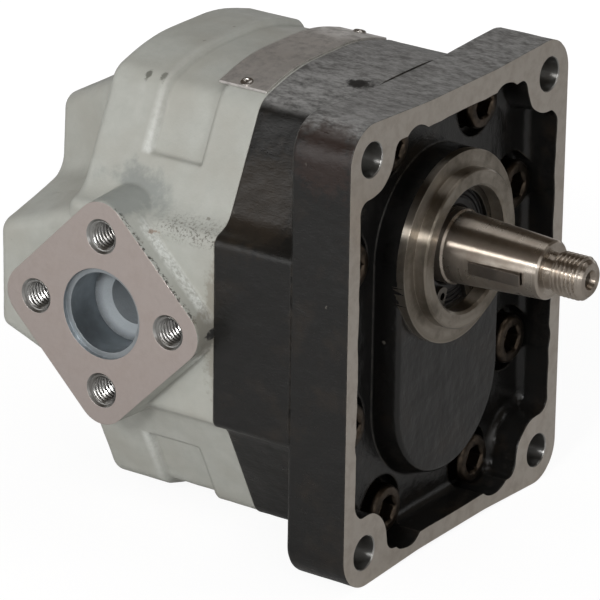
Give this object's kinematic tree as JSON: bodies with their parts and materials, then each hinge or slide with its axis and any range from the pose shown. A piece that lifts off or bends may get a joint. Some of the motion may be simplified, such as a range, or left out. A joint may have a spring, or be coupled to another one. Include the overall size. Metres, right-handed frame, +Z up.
{
  "type": "hydraulic gear motor",
  "caption": "Cast-iron hydraulic gear motor with a square pilot flange, a taper shaft with a key and a threaded end, and two opposite threaded ports.",
  "frame": {"origin": "centre of the pilot on the mounting face of the flange", "axes": "+X along the drive shaft, out of the flange; +Z up, from the driven gear towards the drive gear; the ports face -Y and +Y"},
  "size_m": [0.1803, 0.1368, 0.1507],
  "materials": {
    "black_paint": "semi-gloss",
    "grey_paint": "satin",
    "ground_steel": "polished",
    "key_steel": "satin",
    "gear_block_alloy": "machined",
    "bush_bronze": "machined",
    "seal_rubber": "matt",
    "backup_plastic": "matt",
    "spring_steel": "satin",
    "black_screw": "black oxide",
    "plate_alloy": "satin",
    "rivet_alloy": "satin"
  },
  "bodies": {
    "housing": {"front_flange": "black_paint", "gear_housing": "grey_paint", "front_bearing_block": "gear_block_alloy", "rear_bearing_block": "gear_block_alloy", "front_drive_bush": "bush_bronze", "front_driven_bush": "bush_bronze", "rear_drive_bush": "bush_bronze", "rear_driven_bush": "bush_bronze", "front_balance_seal": "seal_rubber", "front_backup_ring": "backup_plastic", "rear_balance_seal": "seal_rubber", "rear_backup_ring": "backup_plastic", "housing_seal_ring": "seal_rubber", "support_bush": "bush_bronze", "seal_spacer_ring": "spring_steel", "shaft_seal_case": "spring_steel", "shaft_seal_lip": "seal_rubber", "seal_garter_spring": "spring_steel", "seal_retaining_ring": "spring_steel", "flange_screws": "black_screw", "dowel_pins": "ground_steel", "nameplate": "plate_alloy", "nameplate_rivets": "rivet_alloy"},
    "drive_gear": {"drive_gear_shaft": "ground_steel", "woodruff_key": "key_steel"},
    "driven_gear": {"driven_gear_shaft": "ground_steel"}
  },
  "joints": [
    {"name": "drive_spin", "type": "hinge", "parent": "housing", "child": "drive_gear", "pos_m": [0, 0, 0], "axis": [1, 0, 0], "continuous": true},
    {"name": "driven_spin", "type": "hinge", "parent": "housing", "child": "driven_gear", "pos_m": [0, 0, -0.0431], "axis": [1, 0, 0], "continuous": true}
  ],
  "couplings": [
    {"joint": "driven_spin", "follows": "drive_spin", "ratio": -1}
  ]
}
